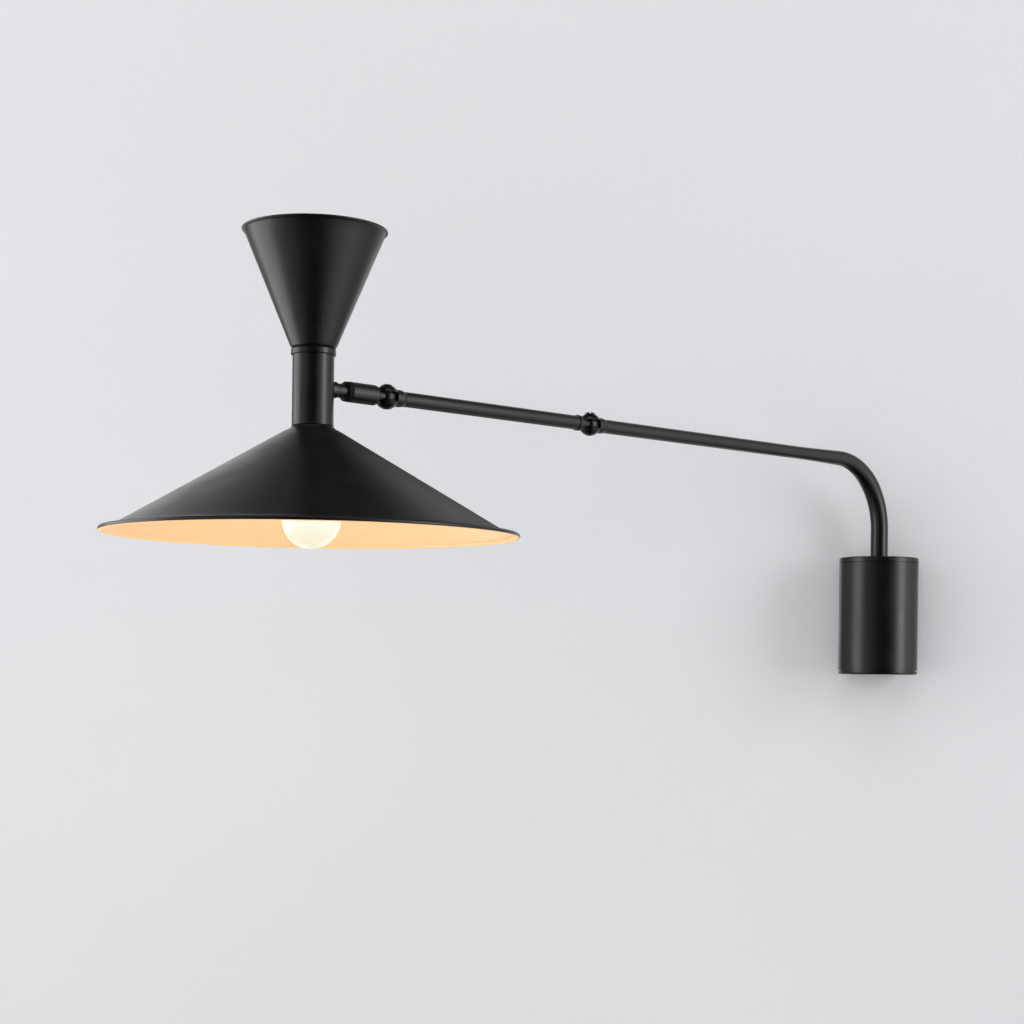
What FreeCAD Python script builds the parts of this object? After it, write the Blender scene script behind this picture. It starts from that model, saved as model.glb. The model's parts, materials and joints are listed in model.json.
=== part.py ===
"""Swing arm wall sconce: wall base, two hinged arms, rolling head with an up and a down shade.

Row frame in millimetres: origin on the wall plate's back face at the middle of the base, +X right
along the wall, +Y into the wall, +Z up. The arms and the head are drawn in the arm frame: origin
where the base axis meets the arm axis, +X out along the straight arm to the head, +Z up.
"""
import FreeCAD, Part
import math
import os

V = FreeCAD.Vector
X_AXIS = V(1, 0, 0)
Y_AXIS = V(0, 1, 0)
Z_AXIS = V(0, 0, 1)

# Wall base
BASE_RADIUS = 39.75
BASE_HALF = 59.3
BASE_STANDOFF = 30.0
SHELL_WALL = 2.0
TOP_CAP = 5.0
BOTTOM_CAP = 3.4
CAP_GROOVE = 0.8
CAP_SPIGOT = 3.0
TOP_CAP_ROUND = 1.2
BOTTOM_CAP_ROUND = 2.2
PLATE_WIDTH = 44.0
PLATE_HALF = 49.0
PLATE_THICK = 3.0
FIXING_SPACING = 80.0
FIXING_RADIUS = 2.7
CABLE_HOLE_RADIUS = 6.0
CABLE_HOLE_Z = -27.0
BLOCK_RADIUS = 18.0
BLOCK_BOTTOM = -14.0
BLOCK_TOP = 34.0
FOOT_THICK = 5.0
FOOT_SCREW_X = 18.5
FOOT_SCREW_Z = (-6.0, 26.0)
SHELL_SCREW_Z = 10.0
TIE_SCREW_X = 28.0
BUSH_RADIUS = 11.0
BUSH_FLANGE = 1.5
BUSH_LENGTH = 14.0
RUNNING_FIT = 0.05
TERMINAL_X = (-9.0, 0.0, 9.0)
TERMINAL_Y = (-30.0, -14.0)
TERMINAL_Z = (-54.5, -42.5)

# Arm, measured from the base axis along the arm
ARM_HEIGHT = 155.8
ARM_ANGLE = 222.9
ARM_REACH = 720.9
ELBOW_AT = 420.0
WRIST_AT = 648.2
SPINDLE_RADIUS = 8.7
SPINDLE_BOTTOM = -27.5
BEND_RADIUS = 68.0
BEND_END_RADIUS = 7.1
NARROWS_FROM = 0.5
TAPER_END = 124.0
TUBE_RADIUS = 6.0
TUBE_BORE = 4.5
LEAD_BORE = 4.0
SHEATH_RADIUS = 2.5
SPIGOT = 14.0

# Swivel stops
STOP_RING_RADIUS = 15.2
STOP_PIN_RADIUS = 1.8
SWIVEL_MIN = -30.0
SWIVEL_MAX = 125.0
TAB_HALF_WIDTH = 3.0
STOP_PIN_DROP = 3.4

# Knuckle joints
BALL_RADIUS = 9.85
SLOT_HALF = 3.65
TANG_HALF = 3.1
TANG_WIDTH = 10.4
EYE_RADIUS = 7.5
POCKET_RADIUS = 7.85
SLOT_BACK = 5.9
FERRULE_START = 7.0
FERRULE_RADIUS = 6.8
FERRULE_STRAIGHT = 6.5
FERRULE_LENGTH = 9.0
TANG_SHOULDER = 13.2
TANG_COLLAR = 4.0
TANG_COLLAR_RADIUS = 6.8
PIVOT_RADIUS = 2.0
PIVOT_HEAD_RADIUS = 4.2
PIVOT_HEAD_DEPTH = 3.2
ELBOW_HEAD_PROUD = 0.9
WRIST_HEAD_PROUD = 0.4
SCREW_SLOT_DEPTH = 1.6
ELBOW_SLOT_TURN = 92.0
WRIST_SLOT_TURN = 15.0
WASHER_RADIUS = 5.4

# Roll sleeve between wrist and head, measured from the head axis towards the wall
SLEEVE_RADIUS = 8.0
PLUG_LENGTH = 4.6
SLEEVE_START = 34.0
SLEEVE_END = 60.0
SLEEVE_CHAMBER = 50.0
CHAMBER_RADIUS = 6.3
RING_START = 29.5
RING_ROUND = 2.0
RING_SEAT = 2.0
STEM_RADIUS = 5.5
COLLAR_RADIUS = 6.4
COLLAR_END = 21.9
JOURNAL_RADIUS = 5.0
STUB_BORE = 2.6

# Head, heights above the lower rim
AXIS_OVER_RIM = 114.2
SHADE_WALL = 1.2
SHADE_RIM_RADIUS = 160.5
RIM_BEAD = 1.75
CONE_FOOT_RADIUS = 149.0
CONE_FOOT_Z = 5.0
CONE_TOP_RADIUS = 20.9
CONE_TOP_Z = 80.4
NECK_RADIUS = 16.0
NECK_BORE = 14.4
NECK_BOTTOM = 84.6
NECK_TOP = 138.3
NECK_FLOOR = 2.0
NECK_COLLAR_RADIUS = 17.3
NECK_COLLAR_TOP = 143.1
GASKET_TOP = 144.0
UPPER_FOOT_RADIUS = 17.4
UPPER_RIM_RADIUS = 54.9
UPPER_RIM_Z = 234.2
UPPER_BEAD = 0.9
NIPPLE_RADIUS = 5.0
NIPPLE_BORE = 3.5
HOLDER_HEIGHT = 34.0
HOLDER_FLOOR = 11.0
HOLDER_RADIUS = 13.5
HOLDER_BORE = 8.2
LOWER_TIP_Z = 68.1
BULB_RADIUS = 22.5
BULB_LENGTH = 78.0
BULB_GLASS = 1.0
LEAD_RADIUS = 1.1

PARTS = {}


def row_place(shape):
    """Move a shape from the base frame (origin on the base axis) to the row frame."""
    shape.translate(V(0, -BASE_STANDOFF, 0))
    return shape


def arm_place(shape):
    """Move a shape from the arm frame to the row frame."""
    shape.rotate(V(0, 0, 0), Z_AXIS, ARM_ANGLE)
    shape.translate(V(0, -BASE_STANDOFF, ARM_HEIGHT))
    return shape


def upright(radius, low, high, x=0.0, y=0.0):
    return Part.makeCylinder(radius, high - low, V(x, y, low), Z_AXIS)


def ring(outer, inner, low, high, x=0.0, y=0.0):
    return upright(outer, low, high, x, y).cut(upright(inner, low - 1, high + 1, x, y))


def along(radius, start, end, y=0.0, z=0.0):
    """Round bar along the arm."""
    return Part.makeCylinder(radius, end - start, V(start, y, z), X_AXIS)


def along_ring(outer, inner, start, end):
    return along(outer, start, end).cut(along(inner, start - 1, end + 1))


def taper(radius_a, radius_b, start, end):
    """Cone along the arm."""
    return Part.makeCone(radius_a, radius_b, end - start, V(start, 0, 0), X_AXIS)


def block(x0, x1, y0, y1, z0, z1):
    return Part.makeBox(x1 - x0, y1 - y0, z1 - z0, V(x0, y0, z0))


def hexagon(flats, low, high):
    """Upright hexagonal bar, measured across its flats."""
    radius = flats / math.sqrt(3)
    points = []
    for corner in range(7):
        angle = math.radians(60 * corner)
        points.append(V(radius * math.cos(angle), radius * math.sin(angle), low))
    return Part.Face(Part.makePolygon(points)).extrude(V(0, 0, high - low))


def turned(points):
    """Solid of revolution about Z from a closed outline of (radius, height) points."""
    corners = [V(r, 0, z) for r, z in points]
    outline = Part.makePolygon(corners + corners[:1])
    return Part.Face(outline).revolve(V(0, 0, 0), Z_AXIS, 360)


def turned_wire(edges):
    return Part.Face(Part.Wire(edges)).revolve(V(0, 0, 0), Z_AXIS, 360)


def lead(points, bend, radius):
    """Round lead along straight runs joined by tangent arcs."""
    edges = []
    last = points[0]
    for before, corner, after in zip(points, points[1:], points[2:]):
        inward = (corner - before).normalize()
        outward = (after - corner).normalize()
        half_turn = inward.getAngle(outward) / 2
        setback = bend * math.tan(half_turn)
        arc_start = corner - inward * setback
        arc_end = corner + outward * setback
        towards_centre = (outward - inward).normalize()
        arc_middle = corner + towards_centre * (bend / math.cos(half_turn) - bend)
        edges.append(Part.LineSegment(last, arc_start).toShape())
        edges.append(Part.Arc(arc_start, arc_middle, arc_end).toShape())
        last = arc_end
    edges.append(Part.LineSegment(last, points[-1]).toShape())
    first_run = (points[1] - points[0]).normalize()
    section = Part.Wire(Part.makeCircle(radius, points[0], first_run))
    return Part.Wire(edges).makePipeShell([section], True, False)


def save(name, shape):
    """Keep the node's clean solid for export."""
    PARTS[name] = shape


# ---------------------------------------------------------------- wall base

def cut_at_wall(shape):
    """Trim a base-frame shape flat at the wall."""
    behind = block(-60, 60, BASE_STANDOFF, BASE_STANDOFF + 40, -80, 80)
    return shape.cut(behind)


def shell_screw_y():
    return BASE_STANDOFF - PLATE_THICK - FOOT_THICK / 2


def base_shell():
    """D-shaped tube, open at both ends and against the wall."""
    low = -BASE_HALF + BOTTOM_CAP + CAP_GROOVE
    high = BASE_HALF - TOP_CAP - CAP_GROOVE
    shell = cut_at_wall(ring(BASE_RADIUS, BASE_RADIUS - SHELL_WALL, low, high))
    screw = Part.makeCylinder(1.6, 80, V(-40, shell_screw_y(), SHELL_SCREW_Z), X_AXIS)
    return row_place(shell.cut(screw))


def cap_disc(low, high, round_at, radius):
    """End disc with a rounded outer edge at one height."""
    disc = upright(BASE_RADIUS, low, high)
    rim = [e for e in disc.Edges if abs(e.BoundBox.ZMin - round_at) < 0.01 and e.BoundBox.ZLength < 0.01]
    return disc.makeFillet(radius, rim)


def cap_spigot(low, high):
    outer = BASE_RADIUS - SHELL_WALL - 0.1
    return ring(outer, outer - 4.0, low, high)


def tie_screw_places():
    return (-TIE_SCREW_X, TIE_SCREW_X)


def base_top_cap():
    low = BASE_HALF - TOP_CAP
    cap = cap_disc(low, BASE_HALF, BASE_HALF, TOP_CAP_ROUND).fuse(cap_spigot(low - CAP_SPIGOT, low))
    for x in tie_screw_places():
        cap = cap.fuse(upright(3.2, low - CAP_SPIGOT, low, x))
        cap = cap.cut(upright(1.5, low - CAP_SPIGOT - 1, BASE_HALF - 1.5, x))
    cap = cut_at_wall(cap.cut(upright(SPINDLE_RADIUS + 0.4, low - 1, BASE_HALF + 1)))
    plate_room = block(-PLATE_WIDTH / 2 - 1, PLATE_WIDTH / 2 + 1, BASE_STANDOFF - PLATE_THICK - 1,
                       BASE_STANDOFF + 1, low - CAP_SPIGOT - 1, low)
    return row_place(cap.cut(plate_room).removeSplitter())


def base_bottom_cap():
    top = -BASE_HALF + BOTTOM_CAP
    cap = cap_disc(-BASE_HALF, top, -BASE_HALF, BOTTOM_CAP_ROUND).fuse(cap_spigot(top, top + CAP_SPIGOT))
    for x in tie_screw_places():
        cap = cap.cut(upright(1.6, -BASE_HALF - 1, top + CAP_SPIGOT + 1, x))
        sink = Part.makeCone(3.1, 1.6, 1.7, V(x, 0, -BASE_HALF), Z_AXIS)
        cap = cap.cut(sink)
    cap = cut_at_wall(cap)
    plate_room = block(-PLATE_WIDTH / 2 - 1, PLATE_WIDTH / 2 + 1, BASE_STANDOFF - PLATE_THICK - 1,
                       BASE_STANDOFF + 1, top, top + CAP_SPIGOT + 1)
    return row_place(cap.cut(plate_room).removeSplitter())


def tie_screws():
    """Two long countersunk screws that pull both caps onto the shell."""
    screws = []
    for x in tie_screw_places():
        shank = upright(1.5, -BASE_HALF, BASE_HALF - 2.0, x)
        head = Part.makeCone(3.0, 1.5, 1.6, V(x, 0, -BASE_HALF), Z_AXIS)
        slot = block(x - 3.2, x + 3.2, -0.4, 0.4, -BASE_HALF - 0.1, -BASE_HALF + 0.8)
        screws.append(row_place(shank.fuse(head).cut(slot)))
    return Part.makeCompound(screws)


def wall_plate():
    """Flat steel plate with two fixing holes and a cable hole."""
    half = PLATE_WIDTH / 2
    plate = block(-half, half, -PLATE_THICK, 0, -PLATE_HALF, PLATE_HALF)
    corners = [e for e in plate.Edges if e.BoundBox.YLength > PLATE_THICK - 0.1]
    plate = plate.makeFillet(3.0, corners)
    for z in (-FIXING_SPACING / 2, FIXING_SPACING / 2):
        plate = plate.cut(Part.makeCylinder(FIXING_RADIUS, 10, V(0, -5, z), Y_AXIS))
    plate = plate.cut(Part.makeCylinder(CABLE_HOLE_RADIUS, 10, V(0, -5, CABLE_HOLE_Z), Y_AXIS))
    for x in (-FOOT_SCREW_X, FOOT_SCREW_X):
        for z in FOOT_SCREW_Z:
            plate = plate.cut(Part.makeCylinder(1.7, 10, V(x, -5, z), Y_AXIS))
    earth_hole = Part.makeCylinder(1.7, 10, V(14, -5, CABLE_HOLE_Z), Y_AXIS)
    return plate.cut(earth_hole)


def bearing_block():
    """Bored column on a foot that bolts to the wall plate."""
    column = upright(BLOCK_RADIUS, BLOCK_BOTTOM, BLOCK_TOP)
    foot_front = BASE_STANDOFF - PLATE_THICK - FOOT_THICK
    foot_back = BASE_STANDOFF - PLATE_THICK
    foot = block(-PLATE_WIDTH / 2, PLATE_WIDTH / 2, foot_front, foot_back, BLOCK_BOTTOM, BLOCK_TOP)
    web = block(-12, 12, 0, foot_front + 1, BLOCK_BOTTOM, BLOCK_TOP)
    body = column.fuse(web).fuse(foot)
    body = body.cut(upright(SPINDLE_RADIUS + 0.6, BLOCK_BOTTOM - 1, BLOCK_TOP + 1))
    body = body.cut(upright(BUSH_RADIUS, BLOCK_TOP - BUSH_LENGTH, BLOCK_TOP + 1))
    body = body.cut(upright(BUSH_RADIUS, BLOCK_BOTTOM - 1, BLOCK_BOTTOM + BUSH_LENGTH))
    for x in (-FOOT_SCREW_X, FOOT_SCREW_X):
        for z in FOOT_SCREW_Z:
            body = body.cut(Part.makeCylinder(2.1, 20, V(x, foot_front - 5, z), Y_AXIS))
    screw = Part.makeCylinder(1.5, 80, V(-40, shell_screw_y(), SHELL_SCREW_Z), X_AXIS)
    body = body.cut(screw)
    for angle in stop_pin_angles():
        x, y = on_stop_ring(angle)
        body = body.cut(upright(STOP_PIN_RADIUS, BLOCK_BOTTOM - 1, BLOCK_BOTTOM + 6, x, y))
    return row_place(body.removeSplitter())


def block_screws():
    """Four pan head screws that hold the bearing block to the wall plate."""
    screws = []
    front = BASE_STANDOFF - PLATE_THICK - FOOT_THICK
    for x in (-FOOT_SCREW_X, FOOT_SCREW_X):
        for z in FOOT_SCREW_Z:
            head = Part.makeCylinder(3.3, 2.2, V(x, front - 2.2, z), Y_AXIS)
            shank = Part.makeCylinder(1.7, FOOT_THICK + PLATE_THICK - 0.2, V(x, front, z), Y_AXIS)
            slot = block(x - 3.4, x + 3.4, front - 2.3, front - 1.2, z - 0.4, z + 0.4)
            screws.append(row_place(head.fuse(shank).cut(slot)))
    return Part.makeCompound(screws)


def shell_screws():
    """Two headless screws that lock the shell to the bearing block's foot."""
    screws = []
    for side in (-1, 1):
        start = 16.0 if side > 0 else -30.6
        screw = Part.makeCylinder(1.45, 14.6, V(start, shell_screw_y(), SHELL_SCREW_Z), X_AXIS)
        end = side * 30.6
        key = Part.makeCylinder(0.8, 4.0, V(end - 2, shell_screw_y(), SHELL_SCREW_Z), X_AXIS)
        screws.append(row_place(screw.cut(key)))
    return Part.makeCompound(screws)


def bush(bottom_end, length_up, flange_low):
    """Flanged plain bush round the spindle."""
    bore = SPINDLE_RADIUS + RUNNING_FIT
    body = ring(BUSH_RADIUS, bore, bottom_end, bottom_end + length_up)
    flange = ring(BUSH_RADIUS + 2.0, bore, flange_low, flange_low + BUSH_FLANGE)
    return row_place(body.fuse(flange).removeSplitter())


def upper_bush():
    return bush(BLOCK_TOP - BUSH_LENGTH, BUSH_LENGTH, BLOCK_TOP)


def lower_bush():
    return bush(BLOCK_BOTTOM, BUSH_LENGTH, BLOCK_BOTTOM - BUSH_FLANGE)


def on_stop_ring(angle):
    return (STOP_RING_RADIUS * math.cos(math.radians(angle)),
            STOP_RING_RADIUS * math.sin(math.radians(angle)))


def stop_pin_angles():
    """Places where the tab of the spindle washer meets a pin at either end of its swing."""
    reach = math.degrees((TAB_HALF_WIDTH + STOP_PIN_RADIUS) / STOP_RING_RADIUS) + 3.0
    return (ARM_ANGLE + SWIVEL_MIN - reach, ARM_ANGLE + SWIVEL_MAX + reach)


def stop_pins():
    pins = []
    for angle in stop_pin_angles():
        x, y = on_stop_ring(angle)
        pins.append(row_place(upright(STOP_PIN_RADIUS, BLOCK_BOTTOM - STOP_PIN_DROP, BLOCK_BOTTOM + 5.5, x, y)))
    return Part.makeCompound(pins)


def terminal_block():
    """Three-way terminal block standing on the bottom cap."""
    body = block(-14, 14, TERMINAL_Y[0], TERMINAL_Y[1], TERMINAL_Z[0] - 1.2, TERMINAL_Z[1])
    for x in TERMINAL_X:
        wire_way = Part.makeCylinder(2.0, 30, V(x, -40, -50), Y_AXIS)
        screw_way = upright(1.9, -50, TERMINAL_Z[1] + 1, x, -25)
        body = body.cut(wire_way).cut(screw_way)
    return row_place(body)


def terminal_screws():
    screws = []
    for x in TERMINAL_X:
        screw = upright(1.7, -48, TERMINAL_Z[1] - 1.5, x, -25)
        slot = block(x - 1.8, x + 1.8, -25.3, -24.7, TERMINAL_Z[1] - 2.3, TERMINAL_Z[1])
        screws.append(row_place(screw.cut(slot)))
    return Part.makeCompound(screws)


def earth_screw():
    """Pan head screw and cup washer on the wall plate."""
    front = BASE_STANDOFF - PLATE_THICK
    washer = Part.makeCylinder(4.0, 0.8, V(14, front - 0.8, CABLE_HOLE_Z), Y_AXIS)
    head = Part.makeCylinder(3.0, 2.0, V(14, front - 2.8, CABLE_HOLE_Z), Y_AXIS)
    shank = Part.makeCylinder(1.65, PLATE_THICK - 0.3, V(14, front, CABLE_HOLE_Z), Y_AXIS)
    slot = block(10, 18, front - 2.9, front - 2.0, CABLE_HOLE_Z - 0.4, CABLE_HOLE_Z + 0.4)
    return row_place(washer.fuse(head).fuse(shank).cut(slot))


def base_leads():
    """Live and neutral leads from the terminals up to the mouth of the hollow spindle."""
    leads = []
    for x in (-1.4, 1.4):
        outer_x = 9.0 if x > 0 else -9.0
        route = [V(outer_x, -13.8, -50), V(outer_x, -4, -50), V(x, -2, -40), V(x, 0, -28.5)]
        leads.append(row_place(lead(route, 3.5, LEAD_RADIUS)))
    return Part.makeCompound(leads)


def earth_lead():
    """Earth lead from the middle terminal to the earth screw."""
    front = BASE_STANDOFF - PLATE_THICK
    route = [V(0, -13.8, -50), V(0, 4, -50), V(14, 12, -44), V(14, front - 1.9, CABLE_HOLE_Z - 4.2)]
    return row_place(lead(route, 4.0, LEAD_RADIUS))


def make_base():
    save("wall_plate", wall_plate())
    save("bearing_block", bearing_block())
    save("block_screws", block_screws())
    save("upper_bush", upper_bush())
    save("lower_bush", lower_bush())
    save("stop_pins", stop_pins())
    save("base_shell", base_shell())
    save("base_top_cap", base_top_cap())
    save("base_bottom_cap", base_bottom_cap())
    save("tie_screws", tie_screws())
    save("shell_screws", shell_screws())
    save("terminal_block", terminal_block())
    save("terminal_screws", terminal_screws())
    save("earth_screw", earth_screw())
    save("base_leads", base_leads())
    save("earth_lead", earth_lead())


# ---------------------------------------------------------------- knuckle joints

def fork(centre, way):
    """Slotted ball with a ferrule behind it; way +1 opens the slot towards the head."""
    ball = Part.makeSphere(BALL_RADIUS)
    ferrule_end = FERRULE_START + FERRULE_LENGTH
    ferrule = along(FERRULE_RADIUS, FERRULE_START, FERRULE_START + FERRULE_STRAIGHT)
    ferrule = ferrule.fuse(taper(FERRULE_RADIUS, TUBE_RADIUS + 0.1, FERRULE_START + FERRULE_STRAIGHT, ferrule_end))
    body = ball.fuse(ferrule).fuse(along(TUBE_BORE, ferrule_end, ferrule_end + SPIGOT))
    slot = block(-BALL_RADIUS - 1, SLOT_BACK, -BALL_RADIUS - 1, BALL_RADIUS + 1, -SLOT_HALF, SLOT_HALF)
    pocket = upright(POCKET_RADIUS, -SLOT_HALF, SLOT_HALF)
    bore = along(SHEATH_RADIUS + 0.3, 0, ferrule_end + SPIGOT + 1)
    body = body.cut(slot).cut(pocket).cut(bore)
    head_seat = BALL_RADIUS - PIVOT_HEAD_DEPTH
    body = body.cut(upright(PIVOT_RADIUS, -BALL_RADIUS, BALL_RADIUS))
    body = body.cut(upright(PIVOT_HEAD_RADIUS, head_seat, BALL_RADIUS + 1))
    body = body.cut(upright(PIVOT_HEAD_RADIUS, -BALL_RADIUS - 1, -head_seat))
    return joint_place(body.removeSplitter(), centre, way)


def joint_place(shape, centre, way):
    """Put a joint piece, drawn with its stem along +X, on the arm; way +1 turns the stem to the wall."""
    if way > 0:
        shape.rotate(V(0, 0, 0), Z_AXIS, 180)
    shape.translate(V(centre, 0, 0))
    return arm_place(shape)


def tang_body(shoulder_at):
    """Tang with a crowned eye, round bar milled flat above and below, up to the shoulder of its stem."""
    flats = block(-shoulder_at - 1, BALL_RADIUS, -BALL_RADIUS, BALL_RADIUS, -TANG_HALF, TANG_HALF)
    body = Part.makeSphere(EYE_RADIUS).fuse(along(TANG_WIDTH / 2, -shoulder_at, 0)).common(flats)
    hole = upright(PIVOT_RADIUS + RUNNING_FIT, -TANG_HALF - 1, TANG_HALF + 1)
    if shoulder_at > BALL_RADIUS + 0.6:
        body = body.fuse(along(TANG_WIDTH / 2, -shoulder_at, -BALL_RADIUS - 0.5))
    return body.cut(hole)


def pivot_screw(centre, proud, slot_turn):
    """Shouldered pivot screw with a slotted, domed head that stands a little over the ball."""
    seat = BALL_RADIUS - PIVOT_HEAD_DEPTH
    top = BALL_RADIUS + proud
    shank = upright(PIVOT_RADIUS, -seat - 1.8, seat)
    head = upright(PIVOT_HEAD_RADIUS, seat, top + 1).common(Part.makeSphere(top))
    slot = block(-5, 5, -0.8, 0.8, top - SCREW_SLOT_DEPTH, top + 1)
    slot.rotate(V(0, 0, 0), Z_AXIS, slot_turn - ARM_ANGLE)
    screw = shank.fuse(head).cut(slot)
    return joint_place(screw, centre, 0)


def pivot_nut(centre):
    """Round nut that finishes the ball's underside."""
    seat = BALL_RADIUS - PIVOT_HEAD_DEPTH
    nut = upright(PIVOT_HEAD_RADIUS, -BALL_RADIUS - 1, -seat).common(Part.makeSphere(BALL_RADIUS))
    nut = nut.cut(upright(PIVOT_RADIUS, -seat - 1.9, 0))
    slot = block(-5, 5, -0.6, 0.6, -BALL_RADIUS - 1, -BALL_RADIUS + 0.9)
    return joint_place(nut.cut(slot), centre, 0)


def joint_washers(centre):
    """Friction washers above and below the tang."""
    gap = 0.02
    washers = []
    for low in (-SLOT_HALF, TANG_HALF + gap):
        high = low + SLOT_HALF - TANG_HALF - gap
        washers.append(joint_place(ring(WASHER_RADIUS, PIVOT_RADIUS, low, high), centre, 0))
    return Part.makeCompound(washers)


# ---------------------------------------------------------------- rear arm

def spindle_low():
    """Bottom of the spindle in the arm frame."""
    return SPINDLE_BOTTOM - ARM_HEIGHT


def bend_sections():
    """Circles square to the bend, easing from the spindle's radius to the arm's."""
    sections = []
    steps = 8
    for step in range(steps + 1):
        turn = math.radians(90 * step / steps)
        centre = V(BEND_RADIUS - BEND_RADIUS * math.cos(turn), 0, BEND_RADIUS * math.sin(turn) - BEND_RADIUS)
        direction = V(math.sin(turn), 0, math.cos(turn))
        share = max(0.0, (step / steps - NARROWS_FROM) / (1 - NARROWS_FROM))
        radius = SPINDLE_RADIUS + (BEND_END_RADIUS - SPINDLE_RADIUS) * share
        sections.append(Part.Wire(Part.makeCircle(radius, centre, direction)))
    return sections


def bend_path(start_low, end_at):
    """Upright run, quarter bend and level run of the arm's centre line."""
    corner_up = V(0, 0, -BEND_RADIUS)
    middle = V(BEND_RADIUS * (1 - math.cos(math.pi / 4)), 0, -BEND_RADIUS * (1 - math.sin(math.pi / 4)))
    corner_out = V(BEND_RADIUS, 0, 0)
    upright_run = Part.LineSegment(V(0, 0, start_low), corner_up).toShape()
    bend = Part.Arc(corner_up, middle, corner_out).toShape()
    level_run = Part.LineSegment(corner_out, V(end_at, 0, 0)).toShape()
    return Part.Wire([upright_run, bend, level_run])


def bent_rod(radius, start_low, end_at):
    section = Part.Wire(Part.makeCircle(radius, V(0, 0, start_low), Z_AXIS))
    return bend_path(start_low, end_at).makePipeShell([section], True, False)


def spindle_tube():
    """Hollow spindle, quarter bend and taper in one piece, with a spigot for the rear tube."""
    spindle = upright(SPINDLE_RADIUS, spindle_low(), -BEND_RADIUS)
    bend = Part.makeLoft(bend_sections(), True, False)
    neck_down = taper(BEND_END_RADIUS, TUBE_RADIUS, BEND_RADIUS, TAPER_END)
    spigot = along(TUBE_BORE, TAPER_END, TAPER_END + SPIGOT)
    body = spindle.fuse(bend).fuse(neck_down).fuse(spigot)
    lower_bore = upright(LEAD_BORE, spindle_low() - 1, -BEND_RADIUS)
    turn_bore = bent_rod(SHEATH_RADIUS + 0.6, -BEND_RADIUS - 5, TAPER_END + SPIGOT + 1)
    return arm_place(body.cut(lower_bore).cut(turn_bore))


def stop_washer():
    """Keyed washer under the lower bush; its tab runs between the two stop pins."""
    top = BLOCK_BOTTOM - BUSH_FLANGE - 0.1
    low = top - 2.0
    washer = upright(BUSH_RADIUS, low, top)
    tab = block(0, STOP_RING_RADIUS + 2.0, -TAB_HALF_WIDTH, TAB_HALF_WIDTH, low, top)
    washer = washer.fuse(tab).cut(upright(SPINDLE_RADIUS, low - 1, top + 1))
    washer.translate(V(0, 0, -ARM_HEIGHT))
    return arm_place(washer.removeSplitter())


def spindle_nut():
    top = BLOCK_BOTTOM - BUSH_FLANGE - 2.1
    nut = hexagon(24.0, top - 7.0, top).cut(upright(SPINDLE_RADIUS, top - 8, top + 1))
    nut.translate(V(0, 0, -ARM_HEIGHT))
    return arm_place(nut)


def rear_tube():
    end = ELBOW_AT - FERRULE_START - FERRULE_LENGTH
    return arm_place(along_ring(TUBE_RADIUS, TUBE_BORE, TAPER_END, end))


def rear_lead():
    """Sheathed lead inside the rear arm."""
    end = ELBOW_AT - POCKET_RADIUS - 1.0
    return arm_place(bent_rod(SHEATH_RADIUS, spindle_low() + 1.0, end))


def make_rear_arm():
    save("spindle_tube", spindle_tube())
    save("stop_washer", stop_washer())
    save("spindle_nut", spindle_nut())
    save("rear_tube", rear_tube())
    save("elbow_fork", fork(ELBOW_AT, 1))
    save("elbow_pivot_screw", pivot_screw(ELBOW_AT, ELBOW_HEAD_PROUD, ELBOW_SLOT_TURN))
    save("elbow_pivot_nut", pivot_nut(ELBOW_AT))
    save("elbow_washers", joint_washers(ELBOW_AT))
    save("rear_lead", rear_lead())


# ---------------------------------------------------------------- front arm

def elbow_tang():
    """Tang with a round collar and a spigot into the front tube."""
    body = tang_body(TANG_SHOULDER)
    collar = along(TANG_COLLAR_RADIUS, -TANG_SHOULDER - TANG_COLLAR, -TANG_SHOULDER)
    edges = [e for e in collar.Edges if e.BoundBox.XLength < 0.01]
    collar = collar.makeFillet(0.8, edges)
    spigot = along(TUBE_BORE, -TANG_SHOULDER - TANG_COLLAR - SPIGOT, -TANG_SHOULDER - TANG_COLLAR)
    bore_start = -TANG_SHOULDER - TANG_COLLAR - SPIGOT - 1
    body = body.fuse(collar).fuse(spigot)
    body = body.cut(along(SHEATH_RADIUS + 0.3, bore_start, -EYE_RADIUS))
    return joint_place(body.removeSplitter(), ELBOW_AT, 1)


def front_tube():
    start = ELBOW_AT + TANG_SHOULDER + TANG_COLLAR
    end = WRIST_AT - FERRULE_START - FERRULE_LENGTH
    return arm_place(along_ring(TUBE_RADIUS, TUBE_BORE, start, end))


def front_lead():
    """Sheathed lead inside the front arm."""
    start = ELBOW_AT + EYE_RADIUS + 1.0
    end = WRIST_AT - POCKET_RADIUS - 1.0
    return arm_place(along(SHEATH_RADIUS, start, end))


def make_front_arm():
    save("elbow_tang", elbow_tang())
    save("front_tube", front_tube())
    save("wrist_fork", fork(WRIST_AT, 1))
    save("wrist_pivot_screw", pivot_screw(WRIST_AT, WRIST_HEAD_PROUD, WRIST_SLOT_TURN))
    save("wrist_pivot_nut", pivot_nut(WRIST_AT))
    save("wrist_washers", joint_washers(WRIST_AT))
    save("front_lead", front_lead())


# ---------------------------------------------------------------- wrist

def from_head(distance):
    """Arm frame position of a point that lies this far from the head axis."""
    return ARM_REACH - distance


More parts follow.
